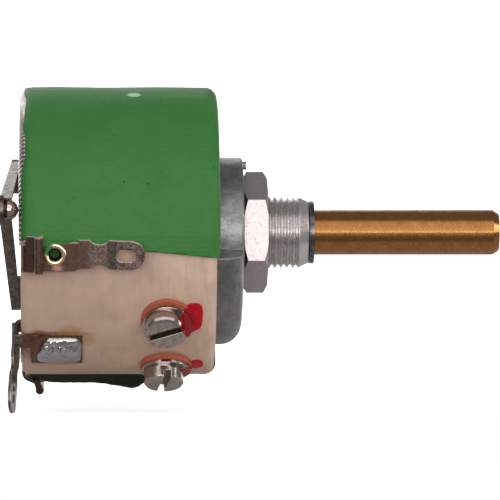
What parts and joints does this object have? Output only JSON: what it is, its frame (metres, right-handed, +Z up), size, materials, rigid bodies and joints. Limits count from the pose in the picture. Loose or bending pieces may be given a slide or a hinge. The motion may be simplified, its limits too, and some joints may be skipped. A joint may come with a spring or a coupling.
{
  "type": "rotary potentiometer",
  "caption": "Rotary wirewound potentiometer: green enamelled winding on a ceramic ring, sprung rear wiper, solder lugs, zinc casting with threaded bushing and nut, long brass shaft.",
  "frame": {"origin": "on the shaft axis, in the plane of the casting's panel face, where the bushing leaves it", "axes": "+X along the shaft towards its free end, +Z up, the pictured side towards -Y"},
  "size_m": [0.0667, 0.0411, 0.0429],
  "materials": {
    "zinc_casting": "dull grey die-cast zinc",
    "nickel_steel": "bright nickel plate on steel",
    "cream_ceramic": "unglazed cream steatite",
    "resistance_wire": "bare resistance ribbon",
    "green_enamel": "satin green enamel",
    "brown_brass": "brass darkened by firing",
    "bright_brass": "bright rolled brass",
    "tinned_brass": "dull tinned brass",
    "solder": "tin-lead solder",
    "red_fibre": "red vulcanised fibre",
    "brown_laminate": "brown phenolic laminate",
    "shaft_brass": "aged drawn brass",
    "spring_steel": "black oiled spring steel",
    "disc_ceramic": "unglazed off-white steatite",
    "spring_bronze": "darkened phosphor bronze",
    "contact_metal": "polished copper-graphite grey contact"
  },
  "bodies": {
    "housing": {"mounting_housing": "zinc_casting", "mounting_nut": "nickel_steel", "ceramic_core": "cream_ceramic", "resistance_winding": "resistance_wire", "enamel_coating": "green_enamel", "start_terminal": "brown_brass", "start_eyelet": "bright_brass", "end_terminal": "brown_brass", "end_eyelet": "bright_brass", "wiper_terminal": "tinned_brass", "terminal_solder": "solder", "core_screws": "nickel_steel", "core_screw_washers": "nickel_steel", "fibre_washers": "red_fibre", "collector_insulator": "brown_laminate"},
    "rotor": {"shaft": "shaft_brass", "retaining_ring": "spring_steel", "thrust_washer": "bright_brass", "rotor_disc": "disc_ceramic", "wiper_spring": "spring_bronze", "wiper_contact": "contact_metal", "collector_brush": "spring_bronze", "brush_rivets": "bright_brass"}
  },
  "joints": [
    {"name": "shaft_rotation", "type": "hinge", "parent": "housing", "child": "rotor", "pos_m": [0, 0, 0], "axis": [-1, 0, 0], "range_deg": [0, 237.8]}
  ]
}
